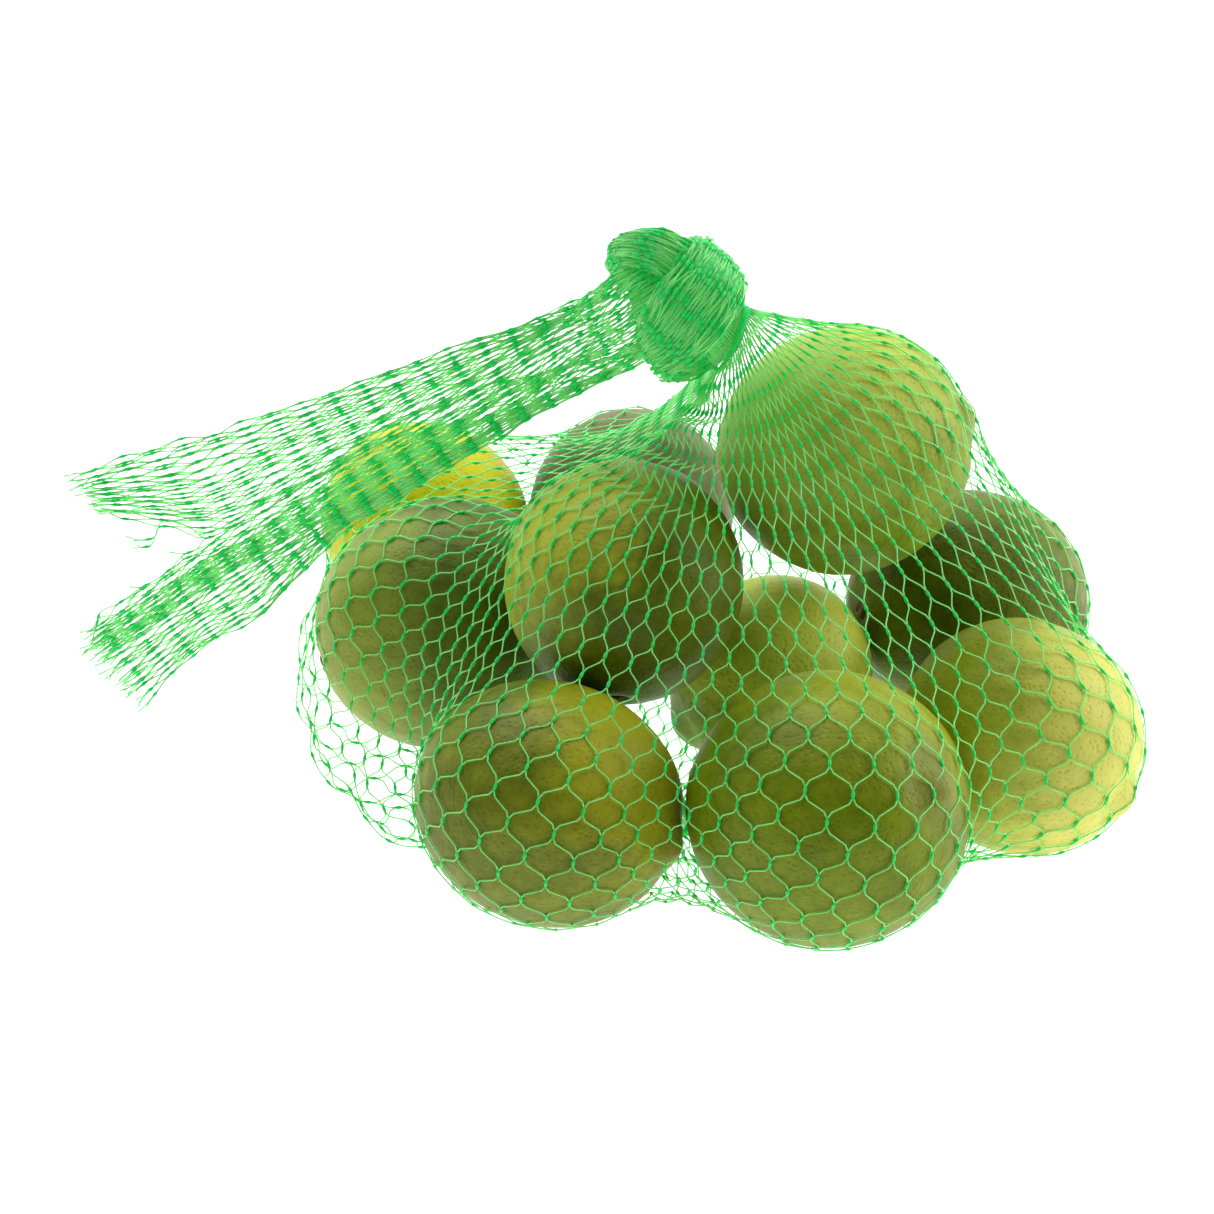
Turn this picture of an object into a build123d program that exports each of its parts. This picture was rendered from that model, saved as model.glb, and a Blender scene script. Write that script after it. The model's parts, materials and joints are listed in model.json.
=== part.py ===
from build123d import *
from math import cos, sin, radians, sqrt, pi
import os
import numpy as np
from scipy.spatial import ConvexHull

# A knotted net sleeve full of limes. Millimetres, +Z up, standing on the net's flat underside at z = 0.
# +X runs towards the right of the heap and the loose tail of the sleeve lies towards -X.

# ---- the limes: width across the waist, length end to end, and where the blossom end points -------------
LIME_SIZES = {
    "front_right": (58.6, 61.0),
    "front_left": (52.4, 58.6),
    "right": (51.6, 54.6),
    "left": (57.6, 62.2),
    "top_mid": (52.8, 54.4),
    "top_right": (55.4, 57.0),
    "back_right": (54.2, 57.6),
    "middle": (45.2, 47.8),
    "back_left": (49.4, 52.0),
    "back_mid": (50.6, 53.2),
}
# heading of the blossom end in degrees from +X towards +Y, and its rise above level
LIME_POINTS = {
    "front_right": (-31, 29),
    "front_left": (-22, -8),
    "right": (-35, -15),
    "left": (15, 13),
    "top_mid": (86, 45),
    "top_right": (3, 17),
    "back_right": (20, -10),
    "middle": (200, -25),
    "back_left": (150, 20),
    "back_mid": (80, 10),
}
LIME_GAP = 0.6                # between the skins of two limes that lie against each other

# ---- how the heap lies: bearing from one lime to the next, and the space between two that don't touch ---
BEARING_FRONT_LEFT = 173.3    # from front_right
BEARING_RIGHT = 36.7          # from front_right
BEARING_BACK_RIGHT = 97.7     # from right
BEARING_LEFT = 109.8          # from front_left
BEARING_BACK_LEFT = 99.0      # from left
BEARING_BACK_MID = 5.6        # from back_left
SPACE_MIDDLE = 11.7           # hollow between front_right and middle, which lies against back_right
SPACE_LEFT = 16.9             # hollow between front_left and left
TOP_RIGHT_HEADING = 28.7      # from middle to the place that top_right stands over
TOP_RIGHT_OFFSET = 18.1
TOP_RIGHT_HOLD = 5.0          # how far the tight net holds top_right off the limes under it

# ---- details of every lime ----------------------------------------------------------------------------
NIPPLE_WIDTH = 13.0           # raised tip at the blossom end
NIPPLE_CROWN = 6.5            # width of its top, which the net stretches over
NIPPLE_RISE = 1.4
BUTTON_WIDTH = 5.2            # woody cap at the stem end
BUTTON_HEIGHT = 2.2
BUTTON_CHAMFER = 0.5
PIT_DEPTH = 1.2               # flat-bottomed pit that the button sits in
PIT_CLEARANCE = 0.15

# ---- the net ------------------------------------------------------------------------------------------
NET_WALL = 0.9                # thickness that stands in for the crossed strands
NET_GAP = 0.5                 # from the net to the skins inside it
FACETS = 110                  # directions sampled on each lime for the stretched net
END_FACETS = 8                # and round each raised end
MOUTH_FACETS = 16             # and round the neck
FACET_SLACK = 1.03            # swells the sampled points so that flat facets clear the round skins
FLAT_DIGITS = 5               # decimals to which two facets' planes agree when they are one face

# ---- neck, knot and tail ------------------------------------------------------------------------------
NECK_HEADING = 198.0          # from the top right lime to the neck
NECK_RISE = 60.5
NECK_STANDOFF = 9.5           # from that lime's skin to the neck's pivot
NECK_RADIUS = 8.0             # mouth of the stretched net
NECK_TILT = 30.0              # of the neck's axis from upright, towards -X
NECK_DEPTH = 4.0              # from the pivot down to the mouth of the stretched net
NECK_FACE = 1.0               # from the pivot down to the end of the gathered neck
NECK_SINK = 3.0               # how far the gathered neck reaches down inside the mouth
NECK_CLEARANCE = 0.1          # between the gathered neck and the mouth
BALL_SWELL = 0.5              # how much larger than the rope its rounded end is, which turns in the neck
BALL_CLEARANCE = 0.4
ROPE_RADIUS = 4.5             # the sleeve twisted into a rope
ROPE_NECK_DROP = 8.0          # from the knot's centre down to the neck's pivot
ROPE_TAIL_DROP = 6.0          # from the knot's centre down to the tail's pivot
ROPE_TAIL_RADIUS = 3.2        # the rope where the tail folds
ROPE_BEND = 7.0               # length along X in which the rope turns down, each side of the wraps
WRAP_WIDTH = 12.2             # each turn of the knot, along the rope
WRAP_THICKNESS = 10.4         # and across it
WRAP_SPACE = 0.4              # between the two turns
WRAP_CLEARANCE = 0.15         # between a turn and the rope inside it
ROPE_END = 1.0                # straight rope that shows past each turn

TAIL_SLOPE = 28.5             # downwards from the knot, towards -X
TAIL_START = 6.0              # from the tail's pivot to the flattened sleeve
TAIL_START_RADIUS = 4.4
TAIL_THICKNESS = 6.0
TAIL_FORK = 80.0              # where the flattened sleeve parts into two leaves
TAIL_FORK_TOP = 17.0          # edges of the sleeve at the fork, from its centre line
TAIL_FORK_BOTTOM = -20.0
LEAF_SPACE = 0.5              # between the flattened sleeve and its leaves
NOTCH_HALF = 2.0              # half the notch between the leaves
UPPER_LEAF_END = 122.0
UPPER_LEAF_EDGES = (12.0, 25.0)
UPPER_LEAF_SWAY = 7.0         # how far the end lies back, towards +Y
LOWER_LEAF_END = 144.0
LOWER_LEAF_EDGES = (-35.0, -12.0)
LOWER_LEAF_SWAY = -4.0

# ---- the closed lower end -----------------------------------------------------------------------------
DIMPLE_RADIUS = 15.0          # where the net is drawn up to the clip under the heap
DIMPLE_HEIGHT = 12.0
CLIP_INNER_RADIUS = 3.0
CLIP_WALL = 0.9
CLIP_WIDTH = 3.4
CLIP_HEIGHT = 4.2             # lower edge of the clip above the table
CLIP_CLEARANCE = 0.1
TUFT_RADIUS = 6.0             # loose end of the gather, spread on the table
TUFT_FOOT = 0.6               # lowest part of it above the table


def direction(heading, rise):
    """Unit vector at a heading from +X and a rise above level, in degrees."""
    level = cos(radians(rise))
    return np.array([level * cos(radians(heading)), level * sin(radians(heading)), sin(radians(rise))])


class Lime:
    """A lime as an ellipsoid of revolution: radius, half length, axis and, once it is laid, its centre."""

    def __init__(self, name):
        width, length = LIME_SIZES[name]
        self.radius = width / 2
        self.half = length / 2
        self.axis = direction(*LIME_POINTS[name])
        self.centre = None

    def reach(self, way):
        """Distance from the centre to the plane square to a direction that touches the skin."""
        along = float(np.dot(way, self.axis))
        return sqrt(self.radius ** 2 * (1 - along ** 2) + self.half ** 2 * along ** 2)

    def floor_height(self):
        return NET_WALL + NET_GAP + self.reach(np.array([0, 0, 1]))


def spacing(one, other):
    """Centre distance at which two laid limes lie against each other."""
    way = (other.centre - one.centre) / np.linalg.norm(other.centre - one.centre)
    return one.reach(way) + other.reach(way) + LIME_GAP


SETTLING_ROUNDS = 40          # the reach depends on the direction, so each lime is corrected this often


def lay_beside(lime, other, bearing, space=0.0):
    """Lay a lime on the table at a bearing from another, against it or a space away from it."""
    way = direction(bearing, 0)[:2]
    height = lime.floor_height()
    level = other.radius + lime.radius
    for _ in range(SETTLING_ROUNDS):
        lime.centre = np.array([*(other.centre[:2] + way * level), height])
        level = sqrt((spacing(other, lime) + space) ** 2 - (height - other.centre[2]) ** 2)


def lay_on(lime, first, second, third):
    """Rest a lime on three others, touching all of them from above."""
    supports = (first, second, third)
    lime.centre = sum(s.centre for s in supports) / 3 + np.array([0, 0, lime.radius * 2])
    for _ in range(SETTLING_ROUNDS):
        far = [spacing(s, lime) for s in supports]
        base = second.centre - first.centre
        gap = np.linalg.norm(base)
        ex = base / gap
        side = third.centre - first.centre
        along = float(ex @ side)
        ey = (side - along * ex) / np.linalg.norm(side - along * ex)
        across = float(ey @ side)
        ez = np.cross(ex, ey)
        ez = ez if ez[2] > 0 else -ez
        x = (far[0] ** 2 - far[1] ** 2 + gap ** 2) / (2 * gap)
        y = (far[0] ** 2 - far[2] ** 2 + along ** 2 + across ** 2 - 2 * along * x) / (2 * across)
        lime.centre = first.centre + x * ex + y * ey + sqrt(far[0] ** 2 - x ** 2 - y ** 2) * ez


def lay_between(lime, one, space, other):
    """Lay a lime on the table, a space from one and against the other, left of the way between them."""
    height = lime.floor_height()
    run = other.centre[:2] - one.centre[:2]
    gap = np.linalg.norm(run)
    along = run / gap
    left = np.array([-along[1], along[0]])
    lime.centre = np.array([*(one.centre[:2] + run / 2 + left * lime.radius), height])
    for _ in range(SETTLING_ROUNDS):
        near = sqrt((spacing(one, lime) + space) ** 2 - (height - one.centre[2]) ** 2)
        far = sqrt(spacing(other, lime) ** 2 - (height - other.centre[2]) ** 2)
        step = (near ** 2 - far ** 2 + gap ** 2) / (2 * gap)
        aside = sqrt(near ** 2 - step ** 2)
        lime.centre = np.array([*(one.centre[:2] + along * step + left * aside), height])


def hold_over(lime, place, others, hold):
    """Hold a lime over a place on the table, a height above where it would first touch the others."""
    lime.centre = np.array([*place, max(other.centre[2] for other in others) + lime.radius])
    for _ in range(SETTLING_ROUNDS):
        heights = []
        for other in others:
            level = np.linalg.norm(other.centre[:2] - place)
            heights.append(other.centre[2] + sqrt(max(spacing(other, lime) ** 2 - level ** 2, 0.0)))
        lime.centre[2] = max(heights)
    lime.centre[2] += hold


def lay_heap():
    """Lay the ten limes against each other, then put the middle of the heap over the origin."""
    limes = {name: Lime(name) for name in LIME_SIZES}
    front_right = limes["front_right"]
    front_right.centre = np.array([0.0, 0.0, front_right.floor_height()])
    lay_beside(limes["front_left"], front_right, BEARING_FRONT_LEFT)
    lay_beside(limes["right"], front_right, BEARING_RIGHT)
    lay_beside(limes["back_right"], limes["right"], BEARING_BACK_RIGHT)
    lay_between(limes["middle"], front_right, SPACE_MIDDLE, limes["back_right"])
    lay_beside(limes["left"], limes["front_left"], BEARING_LEFT, SPACE_LEFT)
    lay_beside(limes["back_left"], limes["left"], BEARING_BACK_LEFT)
    lay_beside(limes["back_mid"], limes["back_left"], BEARING_BACK_MID)
    lay_on(limes["top_mid"], limes["front_left"], limes["left"], limes["middle"])
    stand = limes["middle"].centre[:2] + direction(TOP_RIGHT_HEADING, 0)[:2] * TOP_RIGHT_OFFSET
    hold_over(limes["top_right"], stand, [limes[name] for name in ("middle", "back_right", "top_mid")],
              TOP_RIGHT_HOLD)
    low = np.min([lime.centre - lime.radius for lime in limes.values()], axis=0)
    high = np.max([lime.centre + lime.radius for lime in limes.values()], axis=0)
    shift = np.array([*((low + high) / 2)[:2], 0.0])
    for lime in limes.values():
        lime.centre = lime.centre - shift
    return limes


def lime_place(lime):
    """Location whose Z axis runs from the stem end to the blossom end of a laid lime."""
    return Location(Plane(origin=tuple(lime.centre), z_dir=tuple(lime.axis)))


def on_profile(lime, radius):
    """Height of the lime's skin above its waist, at a radius from its axis."""
    return lime.half * sqrt(1 - (radius / lime.radius) ** 2)


def make_fruit(lime):
    """The lime: an ellipse turned about its length, with a raised tip and a pit for the button."""
    nipple = NIPPLE_WIDTH / 2
    pit = BUTTON_WIDTH / 2 + PIT_CLEARANCE
    shoulder = on_profile(lime, nipple)
    rim = on_profile(lime, pit)
    tip = lime.half + NIPPLE_RISE
    start = -90 + np.degrees(np.arcsin(pit / lime.radius))
    end = 90 - np.degrees(np.arcsin(nipple / lime.radius))
    with BuildPart() as fruit:
        with BuildSketch(Plane.XZ):
            with BuildLine():
                EllipticalCenterArc((0, 0), lime.radius, lime.half, start_angle=start, arc_size=end - start)
                Spline((nipple, shoulder), (nipple / 2, (shoulder + tip) / 2), (0, tip),
                       tangents=((-1, 0.1), (-1, 0)))
                Polyline((0, tip), (0, PIT_DEPTH - rim), (pit, PIT_DEPTH - rim), (pit, -rim))
            make_face()
        revolve(axis=Axis.Z)
    return lime_place(lime) * fruit.part


def make_button(lime):
    """The woody cap that sits on the floor of the pit."""
    rim = on_profile(lime, BUTTON_WIDTH / 2 + PIT_CLEARANCE)
    cap = Cylinder(BUTTON_WIDTH / 2, BUTTON_HEIGHT, align=(Align.CENTER, Align.CENTER, Align.MAX))
    cap = Pos(0, 0, PIT_DEPTH - rim) * cap
    cap = chamfer(cap.faces().sort_by(Axis.Z)[0].edges(), BUTTON_CHAMFER)
    return lime_place(lime) * cap


def even_directions(count):
    """Unit vectors spread evenly over a ball along a golden-angle spiral."""
    turn = pi * (3 - sqrt(5))
    heights = 1 - (2 * np.arange(count) + 1) / count
    rings = np.sqrt(1 - heights ** 2)
    turns = turn * np.arange(count)
    return np.column_stack([rings * np.cos(turns), rings * np.sin(turns), heights])


def skin_points(lime, offset, lowest):
    """Points round a lime, an offset outside its skin and no lower than the lowest height."""
    side = np.cross(lime.axis, [0.0, 0.0, 1.0])
    side = side / np.linalg.norm(side)
    basis = np.array([side, np.cross(lime.axis, side), lime.axis])
    ball = even_directions(FACETS) * FACET_SLACK
    across = lime.radius + offset
    skin = ball * np.array([across, across, lime.half + offset]) @ basis + lime.centre
    tip = lime.centre + lime.axis * (lime.half + NIPPLE_RISE + offset)
    stem = lime.centre - lime.axis * (lime.half + BUTTON_HEIGHT - PIT_DEPTH + offset)
    points = np.vstack([skin, ring_points(tip, lime.axis, NIPPLE_CROWN / 2, END_FACETS),
                        ring_points(stem, lime.axis, BUTTON_WIDTH / 2, END_FACETS)])
    points[:, 2] = np.maximum(points[:, 2], lowest)
    return points


def ring_points(centre, axis, radius, count):
    """Points round a circle."""
    side = np.cross(axis, [0.0, 1.0, 0.0])
    side = side / np.linalg.norm(side)
    other = np.cross(axis, side)
    turns = np.linspace(0, 2 * pi, count, endpoint=False)
    return centre + radius * (np.outer(np.cos(turns), side) + np.outer(np.sin(turns), other))


def wrapped_solid(points):
    """The closed convex solid stretched round a set of points, with its flat regions as single faces."""
    hull = ConvexHull(points)
    middle = points.mean(axis=0)
    flats = {}
    for triangle, plane in zip(hull.simplices, hull.equations):
        key = tuple(np.round(plane, FLAT_DIGITS) + 0.0)
        flats.setdefault(key, set()).update(int(i) for i in triangle)
    faces = []
    for plane, corners in flats.items():
        normal = np.array(plane[:3])
        ring = points[sorted(corners)]
        hub = ring.mean(axis=0)
        side = ring[0] - hub
        other = np.cross(normal, side)
        turn = np.arctan2((ring - hub) @ other / np.linalg.norm(other),
                          (ring - hub) @ side / np.linalg.norm(side))
        outline = [tuple(p) for p in ring[np.argsort(turn)]]
        face = Face(Wire.make_polygon([Vector(*p) for p in outline], close=True))
        faces.append(face if np.dot(hub - middle, tuple(face.normal_at())) > 0 else -face)
    return Solid(Shell(faces))


class Upper:
    """Places and directions of the neck, knot and tail, worked out from the top right lime."""

    def __init__(self, limes):
        top = limes["top_right"]
        way = direction(NECK_HEADING, NECK_RISE)
        self.pivot = top.centre + way * (top.reach(way) + NECK_STANDOFF)
        self.neck_axis = np.array([-sin(radians(NECK_TILT)), 0.0, cos(radians(NECK_TILT))])
        half_knot = WRAP_WIDTH + WRAP_SPACE / 2 + ROPE_END
        self.right_end = self.pivot + np.array([-ROPE_BEND, 0.0, ROPE_NECK_DROP])
        self.knot = self.right_end - np.array([half_knot, 0.0, 0.0])
        self.left_end = self.knot - np.array([half_knot, 0.0, 0.0])
        self.tail_pivot = self.left_end + np.array([-ROPE_BEND, 0.0, -ROPE_TAIL_DROP])
        self.tail_along = np.array([-cos(radians(TAIL_SLOPE)), 0.0, -sin(radians(TAIL_SLOPE))])
        self.tail_up = np.array([-sin(radians(TAIL_SLOPE)), 0.0, cos(radians(TAIL_SLOPE))])

    def on_tail(self, along, up, sway):
        return self.tail_pivot + self.tail_along * along + self.tail_up * up + np.array([0.0, sway, 0.0])


ON_BASE = (Align.CENTER, Align.CENTER, Align.MIN)


def make_bag_net(limes, upper, dimple):
    """The net stretched round the heap: a thin shell, open at the neck, drawn up to the clip below."""
    mouth = upper.pivot - upper.neck_axis * NECK_DEPTH
    throat = mouth - upper.neck_axis * NET_WALL
    bore = NECK_RADIUS - NET_WALL
    outer = np.vstack([skin_points(lime, NET_GAP + NET_WALL, 0.0) for lime in limes.values()]
                      + [ring_points(mouth, upper.neck_axis, NECK_RADIUS, MOUTH_FACETS)])
    inner = np.vstack([skin_points(lime, NET_GAP, NET_WALL) for lime in limes.values()]
                      + [ring_points(throat, upper.neck_axis, bore, MOUTH_FACETS)])
    hollow = wrapped_solid(inner) - dimple_cone(dimple, NET_WALL, NET_WALL)
    opening = between(throat - upper.neck_axis * NET_WALL, mouth + upper.neck_axis * NET_WALL, bore, bore)
    return wrapped_solid(outer) - hollow - opening - dimple_cone(dimple, 0.0, 0.0)


def dimple_cone(place, swell, lift):
    """The cone under the heap where the net is drawn up to the clip."""
    foot = Pos(place[0], place[1], 0)
    height = DIMPLE_HEIGHT + lift
    return foot * Cone(DIMPLE_RADIUS + swell, CLIP_INNER_RADIUS + swell, height, align=ON_BASE)


def make_bottom_gather(place):
    """The lower end of the sleeve: a rope through the clip that opens out to a tuft on the table."""
    rope = CLIP_INNER_RADIUS - CLIP_CLEARANCE
    clip_top = CLIP_HEIGHT + CLIP_WIDTH
    flare_foot = clip_top + CLIP_CLEARANCE
    tuft = Pos(0, 0, TUFT_FOOT) * Cone(TUFT_RADIUS, rope, CLIP_HEIGHT - TUFT_FOOT, align=ON_BASE)
    shank = Pos(0, 0, CLIP_HEIGHT) * Cylinder(rope, DIMPLE_HEIGHT - CLIP_HEIGHT, align=ON_BASE)
    flare = Cone(rope, rope + CLIP_WALL, DIMPLE_HEIGHT - NET_WALL - flare_foot, align=ON_BASE)
    shoulder = Pos(0, 0, flare_foot) * flare
    return Pos(place[0], place[1], 0) * (tuft + shank + shoulder)


def make_bottom_clip(place):
    """The crimped clip: a short tube round the gather."""
    outside = Cylinder(CLIP_INNER_RADIUS + CLIP_WALL, CLIP_WIDTH, align=ON_BASE)
    bore = Cylinder(CLIP_INNER_RADIUS, CLIP_WIDTH, align=ON_BASE)
    return Pos(place[0], place[1], CLIP_HEIGHT + CLIP_CLEARANCE / 2) * (outside - bore)


def between(start, end, start_radius, end_radius):
    """A straight length of rope between two points."""
    run = end - start
    length = float(np.linalg.norm(run))
    place = Location(Plane(origin=tuple(start), z_dir=tuple(run / length)))
    if start_radius == end_radius:
        return place * Cylinder(start_radius, length, align=ON_BASE)
    return place * Cone(start_radius, end_radius, length, align=ON_BASE)


def make_neck_gather(upper):
    """The net drawn together above the limes, hollowed at its end for the rope to turn in."""
    radius = NECK_RADIUS - NET_WALL
    bottom = upper.pivot - upper.neck_axis * (NECK_DEPTH + NECK_SINK)
    top = upper.pivot - upper.neck_axis * NECK_FACE
    socket = Pos(*upper.pivot) * Sphere(ROPE_RADIUS + BALL_SWELL + BALL_CLEARANCE)
    return between(bottom, top, radius - NET_WALL, radius - NECK_CLEARANCE) - socket


def make_knot_core(upper):
    """The sleeve twisted into a rope: up from the neck, through both turns and down to the tail."""
    rope = between(upper.pivot, upper.right_end, ROPE_RADIUS, ROPE_RADIUS)
    rope += Pos(*upper.pivot) * Sphere(ROPE_RADIUS + BALL_SWELL)
    rope += Pos(*upper.right_end) * Sphere(ROPE_RADIUS)
    rope += between(upper.right_end, upper.left_end, ROPE_RADIUS, ROPE_RADIUS)
    rope += Pos(*upper.left_end) * Sphere(ROPE_RADIUS)
    rope += between(upper.left_end, upper.tail_pivot, ROPE_RADIUS, ROPE_TAIL_RADIUS)
    rope += Pos(*upper.tail_pivot) * Sphere(ROPE_TAIL_RADIUS)
    return rope


def make_wrap(upper, side):
    """One turn of the knot round the rope: side +1 is the turn by the neck, -1 the turn by the tail."""
    centre = upper.knot + np.array([side * (WRAP_WIDTH + WRAP_SPACE) / 2, 0.0, 0.0])
    middle = ROPE_RADIUS + WRAP_CLEARANCE + WRAP_THICKNESS / 2
    with BuildPart() as turn:
        with BuildSketch(Plane.XY):
            with Locations((0, middle)):
                Ellipse(WRAP_WIDTH / 2, WRAP_THICKNESS / 2)
        revolve(axis=Axis.X)
    return Pos(*centre) * turn.part


def tail_section(upper, along, low, high, sway):
    """Corners of the flattened sleeve at one place along the tail."""
    half = TAIL_THICKNESS / 2
    edge = half / 2
    corners = []
    for up, out in ((low, edge), (low + edge, half), (high - edge, half), (high, edge)):
        corners += [upper.on_tail(along, up, sway + out), upper.on_tail(along, up, sway - out)]
    return corners


def make_tail_root(upper):
    """The sleeve where it leaves the knot as a rope and spreads flat."""
    middle = upper.on_tail(TAIL_START, 0.0, 0.0)
    start = ring_points(middle, upper.tail_along, TAIL_START_RADIUS, MOUTH_FACETS)
    end = tail_section(upper, TAIL_FORK, TAIL_FORK_BOTTOM, TAIL_FORK_TOP, 0.0)
    return wrapped_solid(np.vstack([start, end]))


def make_tail_leaf(upper, root_edges, end, end_edges, sway):
    """One of the two leaves in which the flattened sleeve ends."""
    root = tail_section(upper, TAIL_FORK + LEAF_SPACE, *root_edges, 0.0)
    return wrapped_solid(np.vstack([root, tail_section(upper, end, *end_edges, sway)]))


limes = lay_heap()
upper = Upper(limes)
dimple = sum(limes[name].centre[:2] for name in ("front_left", "front_right", "middle", "left")) / 4

nodes = {"bag_net": make_bag_net(limes, upper, dimple)}
nodes["neck_gather"] = make_neck_gather(upper)
nodes["bottom_gather"] = make_bottom_gather(dimple)
nodes["bottom_clip"] = make_bottom_clip(dimple)
nodes["knot_core"] = make_knot_core(upper)
nodes["knot_turn_right"] = make_wrap(upper, 1)
nodes["knot_turn_left"] = make_wrap(upper, -1)
nodes["tail_root"] = make_tail_root(upper)
nodes["tail_upper_leaf"] = make_tail_leaf(upper, (NOTCH_HALF, TAIL_FORK_TOP), UPPER_LEAF_END,
                                          UPPER_LEAF_EDGES, UPPER_LEAF_SWAY)
nodes["tail_lower_leaf"] = make_tail_leaf(upper, (TAIL_FORK_BOTTOM, -NOTCH_HALF), LOWER_LEAF_END,
                                          LOWER_LEAF_EDGES, LOWER_LEAF_SWAY)
for name, lime in limes.items():
    nodes["lime_" + name] = make_fruit(lime)
    nodes["stem_button_" + name] = make_button(lime)

os.makedirs("parts", exist_ok=True)
for name, solid in nodes.items():
    solid.label = name
    export_step(solid, f"parts/{name}.step")

for name, lime in limes.items():
    print(name, "centre", np.round(lime.centre, 2), "axis", np.round(lime.axis, 4))
print("neck pivot", np.round(upper.pivot, 2), "tail pivot", np.round(upper.tail_pivot, 2))
print("knot", np.round(upper.knot, 2), "clip", np.round(dimple, 2))
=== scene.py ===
# %% [markdown]
# # A knotted net bag full of limes
# The bag is one seamless sleeve of soft green plastic net. Its lower end is drawn together in a small metal clip,
# ten limes go in, and the sleeve is then tied above them in one fat knot, which leaves a loose tail.
# The frame below is the solid model of the same bag. It gives every place and every body that moves, so the
# limes, the net, the knot and the tail are all put where the frame says.

# %% Load the frame
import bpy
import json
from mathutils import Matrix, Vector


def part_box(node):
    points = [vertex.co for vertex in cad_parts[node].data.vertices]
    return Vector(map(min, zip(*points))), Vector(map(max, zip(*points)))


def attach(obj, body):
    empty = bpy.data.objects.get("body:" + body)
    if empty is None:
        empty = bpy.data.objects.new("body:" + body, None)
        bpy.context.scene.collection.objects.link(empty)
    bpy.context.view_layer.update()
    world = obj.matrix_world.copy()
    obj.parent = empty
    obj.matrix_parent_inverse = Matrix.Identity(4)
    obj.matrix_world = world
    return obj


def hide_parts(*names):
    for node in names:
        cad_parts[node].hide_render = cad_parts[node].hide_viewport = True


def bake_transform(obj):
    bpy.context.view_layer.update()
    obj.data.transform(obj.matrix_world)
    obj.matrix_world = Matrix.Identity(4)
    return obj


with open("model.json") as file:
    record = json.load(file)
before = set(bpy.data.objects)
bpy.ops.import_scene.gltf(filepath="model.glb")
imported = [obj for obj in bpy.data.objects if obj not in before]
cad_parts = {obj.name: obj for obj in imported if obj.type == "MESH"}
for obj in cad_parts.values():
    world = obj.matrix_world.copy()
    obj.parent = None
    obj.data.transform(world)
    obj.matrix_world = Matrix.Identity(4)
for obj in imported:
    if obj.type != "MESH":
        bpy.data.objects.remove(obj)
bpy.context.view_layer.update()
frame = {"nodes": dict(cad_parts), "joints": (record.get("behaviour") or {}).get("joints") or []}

import json
from math import cos, pi, radians, sin, sqrt

import bpy
import numpy as np
from mathutils import Matrix, Vector, noise

MM = 0.001


# %% [markdown]
# ## Small helpers
# Net and peel are worked out with numpy in millimetres and turned into metres only when a mesh is made.
# A mesh is given as points and as arrays of faces, one array for each number of corners, because
# thousands of strands made one by one in Python would take minutes.

# %% Vectors and meshes
def unit(vectors):
    return vectors / np.maximum(np.linalg.norm(vectors, axis=-1, keepdims=True), 1e-9)


def ease(value):
    """0 below 0, 1 above 1, and a smooth step between."""
    value = np.clip(value, 0.0, 1.0)
    return value * value * (3 - 2 * value)


def make_piece(name, points, faces, place=None):
    """A smooth-shaded object from points in millimetres and face arrays."""
    mesh = bpy.data.meshes.new(name)
    corners = np.concatenate([f.ravel() for f in faces])
    sizes = np.concatenate([np.full(len(f), f.shape[1]) for f in faces])
    mesh.vertices.add(len(points))
    mesh.vertices.foreach_set("co", (points * MM).ravel())
    mesh.loops.add(len(corners))
    mesh.loops.foreach_set("vertex_index", corners.astype(np.int32))
    mesh.polygons.add(len(sizes))
    mesh.polygons.foreach_set("loop_start", (np.cumsum(sizes) - sizes).astype(np.int32))
    mesh.update(calc_edges=True)
    mesh.validate()
    mesh.polygons.foreach_set("use_smooth", np.ones(len(mesh.polygons), bool))
    piece = bpy.data.objects.new(name, mesh)
    bpy.context.scene.collection.objects.link(piece)
    if place is not None:
        piece.matrix_world = place
    return piece


def ring_walls(index):
    """Quads between rings of point numbers, which lie one after the other along the last axis but one."""
    after = np.roll(index, -1, axis=-1)
    corners = [index[..., :-1, :], after[..., :-1, :], after[..., 1:, :], index[..., 1:, :]]
    return np.stack(corners, axis=-1).reshape(-1, 4)


def closed_rings(first, rings, last):
    """Points and faces of a body of rings, drawn together to a point at each end."""
    count, around = rings.shape[:2]
    points = np.vstack([first, rings.reshape(-1, 3), last])
    index = 1 + np.arange(count * around).reshape(count, around)
    after = np.roll(index, -1, axis=1)
    start = np.stack([np.zeros(around, int), after[0], index[0]], axis=-1)
    stop = np.stack([np.full(around, len(points) - 1), index[-1], after[-1]], axis=-1)
    return points, [ring_walls(index), start, stop]


def node_points(node):
    """The vertices of a CAD node in millimetres."""
    vertices = frame["nodes"][node].data.vertices
    flat = np.empty(len(vertices) * 3, np.float32)
    vertices.foreach_get("co", flat)
    return flat.reshape(-1, 3).astype(float) / MM


# %% [markdown]
# ## Finishes as arithmetic
# A procedural finish is a small sum: so much noise, times so much colour. Writing it as one keeps it readable.
# `Wire` wraps an output socket and turns + - and * into Math nodes, and `Finish` makes every other node.

# %% Wires and finishes
class Wire:
    """A number that varies over a surface."""

    def __init__(self, finish, socket):
        self.finish = finish
        self.socket = socket

    def math(self, operation, first, second):
        return self.finish.node("ShaderNodeMath", {"operation": operation}, {0: first, 1: second})

    def __add__(self, other):
        return self.math("ADD", self, other)

    __radd__ = __add__

    def __sub__(self, other):
        return self.math("SUBTRACT", self, other)

    def __rsub__(self, other):
        return self.math("SUBTRACT", other, self)

    def __mul__(self, other):
        return self.math("MULTIPLY", self, other)

    __rmul__ = __mul__

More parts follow.
